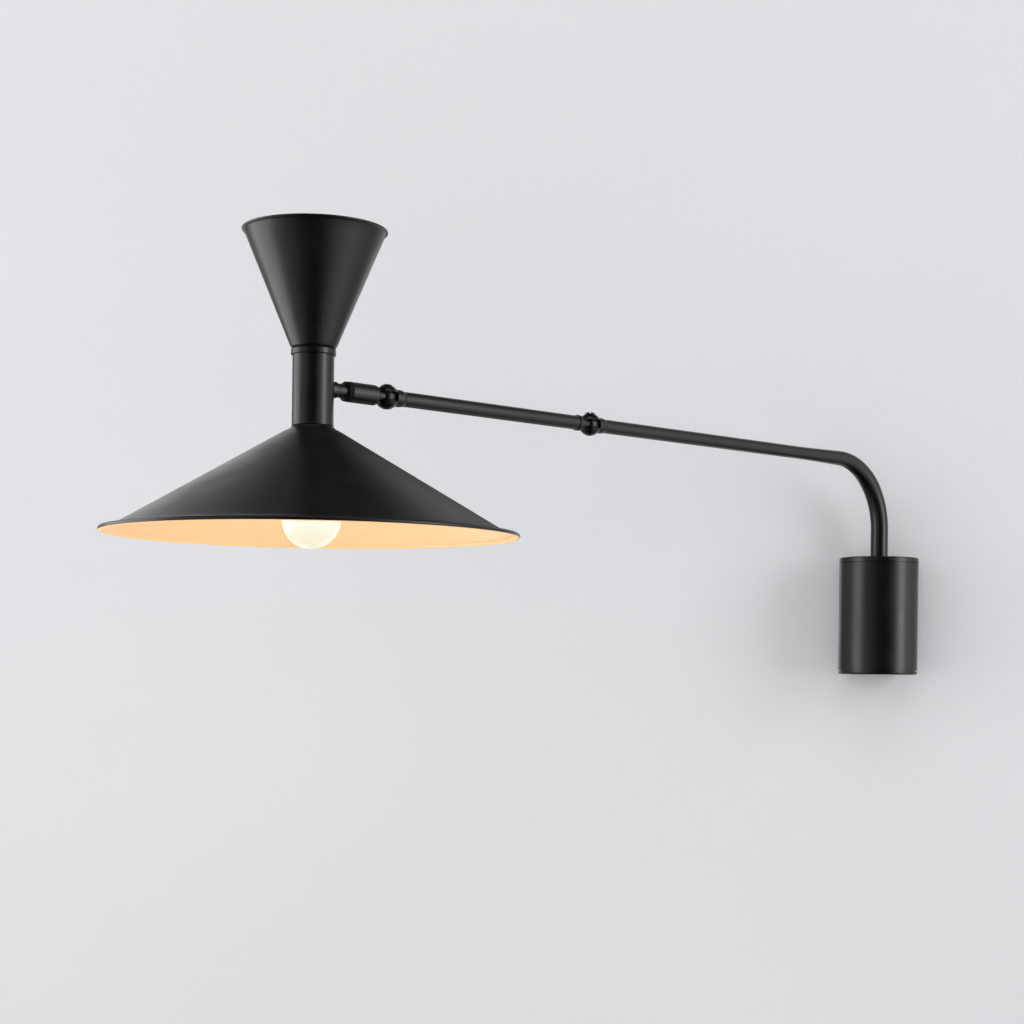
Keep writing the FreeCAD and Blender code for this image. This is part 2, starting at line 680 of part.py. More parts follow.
def wrist_tang():
    """Tang whose plug screws into the back of the roll sleeve."""
    wrist_to_sleeve = from_head(SLEEVE_END) - WRIST_AT
    clear_of_ball = BALL_RADIUS + 0.5
    tang = turned_to_head(tang_body(clear_of_ball), WRIST_AT)
    cone = taper(TANG_WIDTH / 2, SLEEVE_RADIUS - 0.2, WRIST_AT + clear_of_ball, WRIST_AT + wrist_to_sleeve)
    plug = along(CHAMBER_RADIUS, from_head(SLEEVE_END), from_head(SLEEVE_END - PLUG_LENGTH))
    bore = along(SHEATH_RADIUS + 0.3, WRIST_AT + EYE_RADIUS, from_head(SLEEVE_END - PLUG_LENGTH - 1))
    return arm_place(tang.fuse(cone).fuse(plug).cut(bore).removeSplitter())


def turned_to_head(shape, centre):
    """Put a tang, drawn with its stem along -X, on its pivot with the stem towards the head."""
    shape.rotate(V(0, 0, 0), Z_AXIS, 180)
    shape.translate(V(centre, 0, 0))
    return shape


def roll_sleeve():
    """Grip sleeve that the head's journal turns in."""
    sleeve = along(SLEEVE_RADIUS, from_head(SLEEVE_END), from_head(SLEEVE_START))
    rims = [e for e in sleeve.Edges if e.BoundBox.XLength < 0.01]
    sleeve = sleeve.makeChamfer(0.4, rims)
    journal_bore = along(JOURNAL_RADIUS + RUNNING_FIT, from_head(SLEEVE_CHAMBER), from_head(SLEEVE_START) + 1)
    chamber = along(CHAMBER_RADIUS, from_head(SLEEVE_END) - 1, from_head(SLEEVE_CHAMBER))
    return arm_place(sleeve.cut(journal_bore).cut(chamber))


def make_wrist():
    save("wrist_tang", wrist_tang())
    save("roll_sleeve", roll_sleeve())


# ---------------------------------------------------------------- head

def head_place(shape):
    """Move a shape from the head frame (head axis, lower rim height) to the row frame."""
    shape.translate(V(ARM_REACH, 0, -AXIS_OVER_RIM))
    return arm_place(shape)


def roll_ring():
    """Dark friction ring, rounded at its free end, between the stub's shoulder and the sleeve."""
    free_end = from_head(RING_START)
    body = along(SLEEVE_RADIUS - 0.2, from_head(SLEEVE_START) + RUNNING_FIT, free_end)
    rim = [e for e in body.Edges if abs(e.BoundBox.XMin - free_end) < 0.01 and e.BoundBox.XLength < 0.01]
    body = body.makeFillet(RING_ROUND, rim)
    stem_end = free_end - RING_SEAT
    bore = along(JOURNAL_RADIUS, from_head(SLEEVE_START) - 1, stem_end)
    return arm_place(body.cut(bore).cut(along(STEM_RADIUS, stem_end, free_end + 1)))


def head_stub():
    """Collar, stem and journal that carry the head, hollow for the leads."""
    collar = along(COLLAR_RADIUS, from_head(COLLAR_END), from_head(NECK_BORE))
    rim = [e for e in collar.Edges if abs(e.BoundBox.XMin - from_head(COLLAR_END)) < 0.01
           and e.BoundBox.XLength < 0.01]
    collar = collar.makeFillet(1.0, rim)
    collar = collar.cut(upright(NECK_RADIUS, -40, 40, ARM_REACH))
    stem_end = from_head(RING_START + RING_SEAT)
    stem = along(STEM_RADIUS, stem_end, from_head(COLLAR_END))
    journal = along(JOURNAL_RADIUS, from_head(SLEEVE_CHAMBER + 0.6), stem_end)
    thread = along(3.6, from_head(SLEEVE_CHAMBER + 5.0), from_head(SLEEVE_CHAMBER + 0.6))
    neck_shank = along(4.9, from_head(COLLAR_END), from_head(8.5))
    body = collar.fuse(stem).fuse(journal).fuse(thread).fuse(neck_shank)
    return arm_place(body.cut(along(STUB_BORE, from_head(SLEEVE_CHAMBER + 6.0), from_head(7.5))).removeSplitter())


def roll_nut():
    """Slim nut and washer that keep the journal in the sleeve."""
    nut = along_ring(CHAMBER_RADIUS - 0.4, 3.6, from_head(SLEEVE_CHAMBER + 4.6), from_head(SLEEVE_CHAMBER + 0.6))
    flats = block(from_head(SLEEVE_CHAMBER + 6), from_head(SLEEVE_CHAMBER), -8, 8, 5.2, 8)
    return arm_place(nut.cut(flats))


def stub_nut():
    """Saddle nut that clamps the stub from inside the neck."""
    nut = along(6.6, from_head(NECK_BORE), from_head(9.5))
    nut = nut.common(upright(NECK_BORE, -40, 40, ARM_REACH)).cut(along(4.9, from_head(20), from_head(5)))
    return arm_place(nut)


def neck_tube():
    """Neck cup with a floor, a side hole for the stub and an open top."""
    cup = upright(NECK_RADIUS, NECK_BOTTOM, NECK_TOP)
    cup = cup.cut(upright(NECK_BORE, NECK_BOTTOM + NECK_FLOOR, NECK_TOP + 1))
    cup = cup.cut(upright(NIPPLE_RADIUS, NECK_BOTTOM - 1, NECK_BOTTOM + NECK_FLOOR + 1))
    hole = Part.makeCylinder(4.9, 20, V(-22, 0, AXIS_OVER_RIM), X_AXIS)
    return head_place(cup.cut(hole))


def neck_collar():
    """Top cap of the neck with a spigot into it."""
    cap = upright(NECK_COLLAR_RADIUS, NECK_TOP, NECK_COLLAR_TOP)
    rims = [e for e in cap.Edges if e.BoundBox.ZLength < 0.01]
    cap = cap.makeChamfer(0.5, rims)
    spigot = ring(NECK_BORE - RUNNING_FIT, NECK_BORE - 1.6, NECK_TOP - 5, NECK_TOP)
    cap = cap.fuse(spigot).cut(upright(NIPPLE_RADIUS, NECK_TOP - 1, NECK_COLLAR_TOP + 1))
    return head_place(cap.removeSplitter())


def shade_gasket():
    return head_place(ring(NECK_RADIUS - 0.2, NIPPLE_RADIUS, NECK_COLLAR_TOP, GASKET_TOP))


def lower_shade():
    """Spun cone with a flared neck, a flat flange and a rolled rim."""
    slope = math.atan2(CONE_TOP_Z - CONE_FOOT_Z, CONE_FOOT_RADIUS - CONE_TOP_RADIUS)
    lift = SHADE_WALL / math.cos(slope)
    flange_top = 2 * RIM_BEAD
    flange_low = flange_top - SHADE_WALL
    bead_at = SHADE_RIM_RADIUS - RIM_BEAD
    outer_flare = Part.Arc(V(NECK_RADIUS, 0, NECK_BOTTOM), V(17.6, 0, 82.1), V(CONE_TOP_RADIUS, 0, CONE_TOP_Z))
    top_low = NECK_BOTTOM - SHADE_WALL
    inner_top = V(NECK_RADIUS - 1.4, 0, top_low)
    inner_turn = V(CONE_TOP_RADIUS - 0.6, 0, CONE_TOP_Z - lift)
    outer_foot = V(CONE_FOOT_RADIUS, 0, CONE_FOOT_Z)
    inner_foot = V(CONE_FOOT_RADIUS - 0.6, 0, CONE_FOOT_Z - lift + 0.2)
    corners_out = [V(NIPPLE_RADIUS, 0, top_low), V(NIPPLE_RADIUS, 0, NECK_BOTTOM), V(NECK_RADIUS, 0, NECK_BOTTOM)]
    edges = [Part.LineSegment(corners_out[0], corners_out[1]).toShape(),
             Part.LineSegment(corners_out[1], corners_out[2]).toShape(),
             outer_flare.toShape(),
             Part.LineSegment(V(CONE_TOP_RADIUS, 0, CONE_TOP_Z), outer_foot).toShape(),
             Part.LineSegment(outer_foot, V(CONE_FOOT_RADIUS + 1.5, 0, flange_top)).toShape(),
             Part.LineSegment(V(CONE_FOOT_RADIUS + 1.5, 0, flange_top), V(bead_at, 0, flange_top)).toShape(),
             Part.LineSegment(V(bead_at, 0, flange_top), V(bead_at, 0, flange_low)).toShape(),
             Part.LineSegment(V(bead_at, 0, flange_low), inner_foot).toShape(),
             Part.LineSegment(inner_foot, inner_turn).toShape(),
             Part.LineSegment(inner_turn, inner_top).toShape(),
             Part.LineSegment(inner_top, corners_out[0]).toShape()]
    sheet = turned_wire(edges)
    bead = Part.makeTorus(bead_at, RIM_BEAD, V(0, 0, RIM_BEAD), Z_AXIS)
    return head_place(sheet.fuse(bead).removeSplitter())


def upper_shade():
    """Spun funnel, open at the top, with a thin turned rim."""
    slope = math.atan2(UPPER_RIM_Z - GASKET_TOP, UPPER_RIM_RADIUS - UPPER_FOOT_RADIUS)
    step = SHADE_WALL / math.sin(slope)
    floor = GASKET_TOP + SHADE_WALL
    rise = (floor - GASKET_TOP) / math.tan(slope)
    outline = [(NIPPLE_RADIUS, GASKET_TOP), (UPPER_FOOT_RADIUS, GASKET_TOP), (UPPER_RIM_RADIUS, UPPER_RIM_Z),
               (UPPER_RIM_RADIUS - step, UPPER_RIM_Z), (UPPER_FOOT_RADIUS + rise - step, floor),
               (NIPPLE_RADIUS, floor)]
    funnel = turned(outline)
    rim = Part.makeTorus(UPPER_RIM_RADIUS + 0.15, UPPER_BEAD, V(0, 0, UPPER_RIM_Z - 0.5), Z_AXIS)
    return head_place(funnel.fuse(rim).removeSplitter())


def flipped(shape, height):
    """Turn a piece drawn upwards from zero over, so that it hangs down from a height."""
    shape.rotate(V(0, 0, 0), X_AXIS, 180)
    shape.translate(V(0, 0, height))
    return shape


def raised(shape, height):
    shape.translate(V(0, 0, height))
    return shape


def lampholder():
    """E14 lampholder, drawn with its base at zero and its mouth up."""
    body = turned([(NIPPLE_RADIUS, 0), (11.5, 0), (12.0, 3), (12.6, 10), (HOLDER_RADIUS, 12),
                   (HOLDER_RADIUS, HOLDER_HEIGHT - 1), (HOLDER_RADIUS - 1, HOLDER_HEIGHT),
                   (HOLDER_BORE, HOLDER_HEIGHT), (HOLDER_BORE, HOLDER_FLOOR - 1.5), (NIPPLE_RADIUS, HOLDER_FLOOR - 1.5)])
    for groove in range(4):
        height = 14.5 + 4.0 * groove
        body = body.cut(ring(HOLDER_RADIUS + 1, HOLDER_RADIUS - 0.5, height, height + 1.2))
    return body


def screw_shell():
    """Brass threaded shell with the centre contact, drawn like the lampholder."""
    shell = ring(HOLDER_BORE - 0.1, 7.4, HOLDER_FLOOR - 1.4, HOLDER_HEIGHT - 6)
    floor = ring(7.5, NIPPLE_RADIUS, HOLDER_FLOOR - 1.4, HOLDER_FLOOR - 0.6)
    return shell.fuse(floor).removeSplitter()


def bulb_cap():
    """E14 cap with a stepped thread, drawn with its contact at zero and the bulb above."""
    outline = [(0, 0), (2.2, 0), (3.0, 1.2), (3.6, 2.8), (6.0, 4.0)]
    height = 4.6
    for turn in range(5):
        outline.append((6.4, height))
        outline.append((6.95, height + 1.4))
        height = height + 2.8
    outline.append((6.4, height))
    outline.append((6.9, height + 1.0))
    outline.append((6.9, 24.5))
    outline.append((0, 24.5))
    return turned(outline)


def bulb_outline(shrink, low):
    """Edges of the globe bulb's section, shrunk inwards by a wall thickness."""
    centre = BULB_LENGTH - BULB_RADIUS
    radius = BULB_RADIUS - shrink
    neck_radius = 7.8 - shrink
    leave = math.radians(-52)
    leave_point = V(radius * math.cos(leave), 0, centre + radius * math.sin(leave))
    side_point = V(radius, 0, centre)
    crown = V(0, 0, centre + radius)
    crown_mid = V(radius * math.sin(math.pi / 4), 0, centre + radius * math.cos(math.pi / 4))
    neck_top = V(neck_radius, 0, 27.0)
    globe_low = Part.Arc(leave_point, V(radius * math.cos(leave / 2), 0, centre + radius * math.sin(leave / 2)),
                         side_point)
    globe_high = Part.Arc(side_point, crown_mid, crown)
    blend = Part.Arc(neck_top, V((neck_radius + leave_point.x) / 2 - 0.9, 0, (27.0 + leave_point.z) / 2 + 0.9),
                     leave_point)
    return [Part.LineSegment(V(0, 0, low), V(neck_radius, 0, low)).toShape(),
            Part.LineSegment(V(neck_radius, 0, low), neck_top).toShape(),
            blend.toShape(), globe_low.toShape(), globe_high.toShape(),
            Part.LineSegment(crown, V(0, 0, low)).toShape()]


def bulb_glass():
    """Hollow globe on a short neck."""
    outer = turned_wire(bulb_outline(0.0, 24.5))
    inner = turned_wire(bulb_outline(BULB_GLASS, 24.5))
    return outer.cut(inner)


def bulb_core():
    """Stem with four light sticks inside the globe."""
    core = turned([(0, 24.6), (6.0, 24.6), (6.0, 27.0), (3.2, 31), (2.4, 40), (0, 40)])
    sticks = []
    for quarter in range(4):
        angle = math.radians(45 + 90 * quarter)
        foot = V(2.0 * math.cos(angle), 2.0 * math.sin(angle), 37.0)
        tip = V(7.5 * math.cos(angle), 7.5 * math.sin(angle), 66.0)
        sticks.append(Part.makeCylinder(0.9, (tip - foot).Length, foot, tip - foot))
    return core.multiFuse(sticks)


def nipple(low, high):
    return ring(NIPPLE_RADIUS, NIPPLE_BORE, low, high)


def nipple_nuts():
    lower = hexagon(13.0, NECK_BOTTOM + NECK_FLOOR, NECK_BOTTOM + NECK_FLOOR + 4)
    lower = lower.cut(upright(NIPPLE_RADIUS, 0, 200))
    upper = hexagon(13.0, NECK_TOP - 4, NECK_TOP).cut(upright(NIPPLE_RADIUS, 0, 200))
    return Part.makeCompound([head_place(lower), head_place(upper)])


def head_leads():
    """Two leads from the stub's bore, one down and one up to the lampholders."""
    leads = []
    for side, end_z in ((-1.2, LOWER_TIP_Z + 8.0), (1.2, GASKET_TOP + SHADE_WALL + 6.0)):
        axis_z = AXIS_OVER_RIM
        route = [V(-SLEEVE_CHAMBER - 3, side, axis_z), V(0, side, axis_z), V(0, side, end_z)]
        leads.append(head_place(lead(route, 7.0, LEAD_RADIUS)))
    return Part.makeCompound(leads)


def make_head():
    lower_base = LOWER_TIP_Z + HOLDER_FLOOR
    upper_base = GASKET_TOP + SHADE_WALL
    upper_tip = upper_base + HOLDER_FLOOR
    shade_top_low = NECK_BOTTOM - SHADE_WALL
    save("roll_ring", roll_ring())
    save("head_stub", head_stub())
    save("roll_nut", roll_nut())
    save("stub_nut", stub_nut())
    save("neck_tube", neck_tube())
    save("neck_collar", neck_collar())
    save("shade_gasket", shade_gasket())
    save("lower_shade", lower_shade())
    save("upper_shade", upper_shade())
    save("lower_nipple", head_place(nipple(lower_base - 6.0, NECK_BOTTOM + NECK_FLOOR + 5.0)))
    save("upper_nipple", head_place(nipple(NECK_TOP - 5.0, upper_base + 6.0)))
    save("nipple_nuts", nipple_nuts())
    save("lower_spacer", head_place(ring(9.0, NIPPLE_RADIUS, lower_base, shade_top_low)))
    save("lower_lampholder", head_place(flipped(lampholder(), lower_base)))
    save("upper_lampholder", head_place(raised(lampholder(), upper_base)))
    save("lower_screw_shell", head_place(flipped(screw_shell(), lower_base)))
    save("upper_screw_shell", head_place(raised(screw_shell(), upper_base)))
    save("lower_bulb_cap", head_place(flipped(bulb_cap(), LOWER_TIP_Z)))
    save("upper_bulb_cap", head_place(raised(bulb_cap(), upper_tip)))
    save("lower_bulb_glass", head_place(flipped(bulb_glass(), LOWER_TIP_Z)))
    save("upper_bulb_glass", head_place(raised(bulb_glass(), upper_tip)))
    save("lower_bulb_core", head_place(flipped(bulb_core(), LOWER_TIP_Z)))
    save("upper_bulb_core", head_place(raised(bulb_core(), upper_tip)))
    save("head_leads", head_leads())


def export_parts():
    os.makedirs("parts", exist_ok=True)
    for name, shape in PARTS.items():
        shape.exportStep(os.path.join("parts", name + ".step"))
        box = shape.BoundBox
        print(name, "solids", len(shape.Solids), "valid", shape.isValid(), "volume", round(shape.Volume, 1),
              "box", [round(v, 1) for v in (box.XMin, box.YMin, box.ZMin, box.XMax, box.YMax, box.ZMax)])


make_base()
make_rear_arm()
make_front_arm()
make_wrist()
make_head()
export_parts()
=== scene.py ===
"""Looks for the swing arm wall sconce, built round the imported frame. Metres, row frame, +Z up."""
import bpy
import bmesh
import json
import math
from mathutils import Matrix, Quaternion, Vector


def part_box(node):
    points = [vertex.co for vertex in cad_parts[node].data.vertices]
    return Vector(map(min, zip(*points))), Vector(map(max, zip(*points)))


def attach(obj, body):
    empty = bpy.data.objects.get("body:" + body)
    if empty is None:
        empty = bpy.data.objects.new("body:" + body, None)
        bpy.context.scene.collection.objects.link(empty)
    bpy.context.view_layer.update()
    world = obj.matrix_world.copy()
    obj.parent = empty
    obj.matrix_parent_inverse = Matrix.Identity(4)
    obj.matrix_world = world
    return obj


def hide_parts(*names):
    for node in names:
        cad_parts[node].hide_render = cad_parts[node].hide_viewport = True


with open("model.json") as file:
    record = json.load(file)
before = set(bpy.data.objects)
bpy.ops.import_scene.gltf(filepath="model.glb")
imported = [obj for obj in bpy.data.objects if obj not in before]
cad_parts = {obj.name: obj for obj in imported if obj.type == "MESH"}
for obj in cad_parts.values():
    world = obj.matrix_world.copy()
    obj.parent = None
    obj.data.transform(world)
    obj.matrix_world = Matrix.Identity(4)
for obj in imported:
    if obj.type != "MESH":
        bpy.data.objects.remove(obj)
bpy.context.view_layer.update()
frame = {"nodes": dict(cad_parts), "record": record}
nodes = frame["nodes"]
MM = 0.001

# ---------------------------------------------------------------- places read from the frame


def middle(node):
    low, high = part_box(node)
    return (low + high) / 2


neck = middle("neck_tube")
rim_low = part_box("lower_shade")[0].z
head = Vector((neck.x, neck.y, rim_low))
bulb_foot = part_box("lower_bulb_glass")[0].z

# ---------------------------------------------------------------- camera

CAMERA_PLACE = Vector((-0.3721, -2.0061, -0.0575))
CAMERA_ROLL = math.radians(0.75)
CAMERA_LENS = 68.1
CAMERA_SENSOR = 36.0
CAMERA_SHIFT_UP = 0.1523
CAMERA_SHIFT_SIDE = -0.0008
CAMERA_NEAR = 0.05
CAMERA_FAR = 50


def make_camera():
    """Level camera that looks along +Y, with a slight roll and a lens shift."""
    data = bpy.data.cameras.new("camera")
    data.lens = CAMERA_LENS
    data.sensor_width = CAMERA_SENSOR
    data.shift_x = CAMERA_SHIFT_SIDE
    data.shift_y = CAMERA_SHIFT_UP
    data.clip_start = CAMERA_NEAR
    data.clip_end = CAMERA_FAR
    camera = bpy.data.objects.new("camera", data)
    bpy.context.scene.collection.objects.link(camera)
    camera.rotation_mode = "QUATERNION"
    level = Quaternion((1, 0, 0), math.radians(90))
    camera.rotation_quaternion = level @ Quaternion((0, 0, 1), CAMERA_ROLL)
    camera.location = CAMERA_PLACE
    bpy.context.scene.camera = camera


# ---------------------------------------------------------------- material helpers

# A noise texture mostly stays between these two values.
NOISE_LOW = 0.3
NOISE_HIGH = 0.7

# Sockets that Blender only tells apart by their number.
FIRST_SHADER = 1
SECOND_SHADER = 2
FIRST_COLOUR = 6
SECOND_COLOUR = 7
MIXED_COLOUR = 2


def new_material(name):
    material = bpy.data.materials.new(name)
    material.use_nodes = True
    tree = material.node_tree
    shader = tree.nodes["Principled BSDF"]
    return material, tree, shader


def object_coords(tree):
    return tree.nodes.new("ShaderNodeTexCoord").outputs["Object"]


def noise(tree, coords, scale, detail, stretch=None):
    """Noise texture in object space; stretch scales the coordinates along each axis first."""
    if stretch is not None:
        mapping = tree.nodes.new("ShaderNodeMapping")
        mapping.inputs["Scale"].default_value = stretch
        tree.links.new(coords, mapping.inputs["Vector"])
        coords = mapping.outputs["Vector"]
    node = tree.nodes.new("ShaderNodeTexNoise")
    node.inputs["Scale"].default_value = scale
    node.inputs["Detail"].default_value = detail
    tree.links.new(coords, node.inputs["Vector"])
    return node.outputs["Fac"]


def spread(tree, value, low, high, from_low=NOISE_LOW, from_high=NOISE_HIGH):
    """Map a value from one range to another; a noise's own range unless one is given."""
    node = tree.nodes.new("ShaderNodeMapRange")
    node.inputs["From Min"].default_value = from_low
    node.inputs["From Max"].default_value = from_high
    node.inputs["To Min"].default_value = low
    node.inputs["To Max"].default_value = high
    tree.links.new(value, node.inputs["Value"])
    return node.outputs["Result"]


def ramp(tree, value, stops):
    """Colour ramp from (position, colour) stops."""
    node = tree.nodes.new("ShaderNodeValToRGB")
    elements = node.color_ramp.elements
    while len(elements) < len(stops):
        elements.new(0.5)
    for element, (position, colour) in zip(elements, stops):
        element.position = position
        element.color = (*colour, 1)
    tree.links.new(value, node.inputs["Fac"])
    return node.outputs["Color"]


def cloudy_colour(tree, shader, value, colour, darkest):
    """Base colour that drifts with a noise, down to a given share of its brightness."""
    shade = tuple(channel * darkest for channel in colour)
    drift = ramp(tree, value, [(NOISE_LOW, shade), (NOISE_HIGH, colour)])
    tree.links.new(drift, shader.inputs["Base Color"])


def bump(tree, shader, heights, distance):
    """Chain of bump nodes, one for each (height socket, strength)."""
    last = None
    for height, strength in heights:
        node = tree.nodes.new("ShaderNodeBump")
        node.inputs["Strength"].default_value = strength
        node.inputs["Distance"].default_value = distance
        tree.links.new(height, node.inputs["Height"])
        if last is not None:
            tree.links.new(last, node.inputs["Normal"])
        last = node.outputs["Normal"]
    tree.links.new(last, shader.inputs["Normal"])


def mix_shaders(tree, share, first, second, output):
    """Blend two shaders by a share into the surface of an output node."""
    mix = tree.nodes.new("ShaderNodeMixShader")
    tree.links.new(share, mix.inputs["Fac"])
    tree.links.new(first, mix.inputs[FIRST_SHADER])
    tree.links.new(second, mix.inputs[SECOND_SHADER])
    tree.links.new(mix.outputs["Shader"], tree.nodes[output].inputs["Surface"])


def powder_coat(name, dark, light, rough, grain):
    """Satin powder coat: fine orange peel, faint mottling of colour and sheen."""
    material, tree, shader = new_material(name)
    coords = object_coords(tree)
    mottle = noise(tree, coords, scale=45, detail=4)
    peel = noise(tree, coords, scale=1400, detail=2)
    speck = noise(tree, coords, scale=3200, detail=1)
    colour = ramp(tree, mottle, [(0.35, dark), (0.7, light)])
    tree.links.new(colour, shader.inputs["Base Color"])
    tree.links.new(spread(tree, mottle, rough - 0.03, rough + 0.04), shader.inputs["Roughness"])
    bump(tree, shader, [(peel, grain), (speck, grain * 0.5)], distance=0.3 * MM)
    return material


def metal(name, colour, rough, stretch):
    """Plated or machined metal with drawn or turned marks."""
    material, tree, shader = new_material(name)
    coords = object_coords(tree)
    marks = noise(tree, coords, scale=260, detail=4, stretch=stretch)
    cloud = noise(tree, coords, scale=60, detail=3)
    cloudy_colour(tree, shader, cloud, colour, darkest=0.85)
    tree.links.new(spread(tree, marks, rough - 0.07, rough + 0.1), shader.inputs["Roughness"])
    shader.inputs["Metallic"].default_value = 1.0
    bump(tree, shader, [(marks, 0.12)], distance=0.2 * MM)
    return material


def plastic(name, colour, rough, coat=0.0, gloss=0.5):
    """Moulded plastic or ceramic with a faint surface ripple."""
    material, tree, shader = new_material(name)
    coords = object_coords(tree)
    cloud = noise(tree, coords, scale=80, detail=3)
    grain = noise(tree, coords, scale=900, detail=2)
    cloudy_colour(tree, shader, cloud, colour, darkest=0.88)
    tree.links.new(spread(tree, grain, rough - 0.05, rough + 0.06), shader.inputs["Roughness"])
    shader.inputs["Coat Weight"].default_value = coat
    shader.inputs["Specular IOR Level"].default_value = gloss
    bump(tree, shader, [(grain, 0.06)], distance=0.3 * MM)
    return material


def glowing(name, body, glow, strength):
    """Lit surface: its own colour under an even emission."""
    material, tree, shader = new_material(name)
    cloud = noise(tree, object_coords(tree), scale=120, detail=2)
    cloudy_colour(tree, shader, cloud, body, darkest=0.96)
    shader.inputs["Emission Color"].default_value = (*glow, 1)
    shader.inputs["Emission Strength"].default_value = strength
    shader.inputs["Roughness"].default_value = 0.5
    return material


def enamel_with_painted_light(name, paint, reach, near, far, strength):
    """Enamel inside a shade, with the bulb's warm light painted on as an emission glow that fades from the
    axis outwards.

    The painted glow goes from the near colour to the far colour, which it has at the reach, in metres.
    """
    material, tree, shader = new_material(name)
    coords = object_coords(tree)
    cloud = noise(tree, coords, scale=60, detail=3)
    grain = noise(tree, coords, scale=900, detail=2)
    cloudy_colour(tree, shader, cloud, paint, darkest=0.95)
    tree.links.new(spread(tree, grain, 0.38, 0.48), shader.inputs["Roughness"])
    # Painted light: the bulb's glow is painted into the enamel as emission, set by distance from the shade's
    # axis.
    flat = tree.nodes.new("ShaderNodeVectorMath")
    flat.operation = "MULTIPLY"
    flat.inputs[1].default_value = (1, 1, 0)
    tree.links.new(coords, flat.inputs[0])
    radius = tree.nodes.new("ShaderNodeVectorMath")
    radius.operation = "LENGTH"
    tree.links.new(flat.outputs["Vector"], radius.inputs[0])
    share = spread(tree, radius.outputs["Value"], 0, 1, from_low=0, from_high=reach)
    tree.links.new(ramp(tree, share, [(0.1, near), (1.0, far)]), shader.inputs["Emission Color"])
    shader.inputs["Emission Strength"].default_value = strength
    bump(tree, shader, [(grain, 0.05)], distance=0.3 * MM)
    return material


def lit_glass(name, tint, cover, low_glow, high_glow, low, high):
    """Thin pearl glass lit from within: gloss outside, and a glow that whitens with height."""
    material, tree, shader = new_material(name)
    coords = object_coords(tree)
    frost = noise(tree, coords, scale=700, detail=2)
    cloudy_colour(tree, shader, frost, tint, darkest=0.9)
    tree.links.new(spread(tree, frost, 0.04, 0.10), shader.inputs["Roughness"])
    parts = tree.nodes.new("ShaderNodeSeparateXYZ")
    tree.links.new(coords, parts.inputs["Vector"])
    share = spread(tree, parts.outputs["Z"], 0, 1, from_low=low, from_high=high)
    glow = ramp(tree, share, [(0.0, low_glow), (1.0, high_glow)])
    tree.links.new(glow, shader.inputs["Emission Color"])
    shader.inputs["Emission Strength"].default_value = 1.0
    shader.inputs["Alpha"].default_value = cover
    shader.inputs["Coat Weight"].default_value = 0.2
    return material


# ---------------------------------------------------------------- materials

BLACK_DEEP = (0.0025, 0.0025, 0.0026)
BLACK_LIFT = (0.0042, 0.0042, 0.0044)
OXIDE_DEEP = (0.004, 0.004, 0.0045)
OXIDE_LIFT = (0.010, 0.010, 0.011)
CREAM = (0.86, 0.73, 0.48)
# Painted light: a warm glow painted into the shades' cream enamel as emission, in place of the bulb's light
# falling on it.
PAINTED_GLOW_NEAR = (0.76, 0.38, 0.06)
PAINTED_GLOW_FAR = (0.54, 0.185, 0.012)
PAINTED_GLOW_STRENGTH = 0.8
LOWER_PAINTED_GLOW_REACH = 160 * MM
UPPER_PAINTED_GLOW_REACH = 56 * MM
BULB_TINT = (0.05, 0.048, 0.042)
BULB_GLOW_LOW = (0.93, 0.84, 0.62)
BULB_GLOW_HIGH = (0.97, 0.95, 0.80)
BULB_GLOW_RISE = 24 * MM

black = powder_coat("black_powder_coat", BLACK_DEEP, BLACK_LIFT, rough=0.31, grain=0.05)
black_shade = powder_coat("black_shade_coat", BLACK_DEEP, BLACK_LIFT, rough=0.33, grain=0.05)
black_screw = powder_coat("black_oxide", OXIDE_DEEP, OXIDE_LIFT, rough=0.30, grain=0.02)
zinc = metal("zinc_plate", (0.62, 0.63, 0.66), rough=0.32, stretch=(1, 1, 6))
machined = metal("machined_aluminium", (0.72, 0.72, 0.74), rough=0.30, stretch=(1, 1, 18))
brass = metal("nickelled_brass", (0.70, 0.62, 0.44), rough=0.25, stretch=(1, 1, 10))
acetal = plastic("dark_acetal", (0.06, 0.06, 0.065), rough=0.45)
rubber = plastic("black_rubber", (0.003, 0.003, 0.003), rough=0.72, gloss=0.25)
polyamide = plastic("white_polyamide", (0.80, 0.79, 0.75), rough=0.45)
thermoset = plastic("cream_thermoset", (0.74, 0.68, 0.57), rough=0.30, coat=0.4)
wire_red = plastic("red_brown_wire", (0.20, 0.05, 0.02), rough=0.40)
wire_green = plastic("green_wire", (0.16, 0.36, 0.05), rough=0.40)
sheath = plastic("white_sheath", (0.70, 0.70, 0.69), rough=0.45)
# The cream enamel inside each shade, with the bulb's light painted on as a warm emission glow.
cream = enamel_with_painted_light("lower_cream_and_painted_glow", CREAM, LOWER_PAINTED_GLOW_REACH, PAINTED_GLOW_NEAR, PAINTED_GLOW_FAR, PAINTED_GLOW_STRENGTH)
cream_upper = enamel_with_painted_light("upper_cream_and_painted_glow", CREAM, UPPER_PAINTED_GLOW_REACH, PAINTED_GLOW_NEAR, PAINTED_GLOW_FAR, PAINTED_GLOW_STRENGTH)
sticks_lit = glowing("light_sticks", body=(1.0, 0.85, 0.6), glow=(1.0, 0.80, 0.50), strength=16)
pearl = lit_glass("pearl_glass", BULB_TINT, cover=0.96, low_glow=BULB_GLOW_LOW, high_glow=BULB_GLOW_HIGH,
                  low=bulb_foot, high=bulb_foot + BULB_GLOW_RISE)

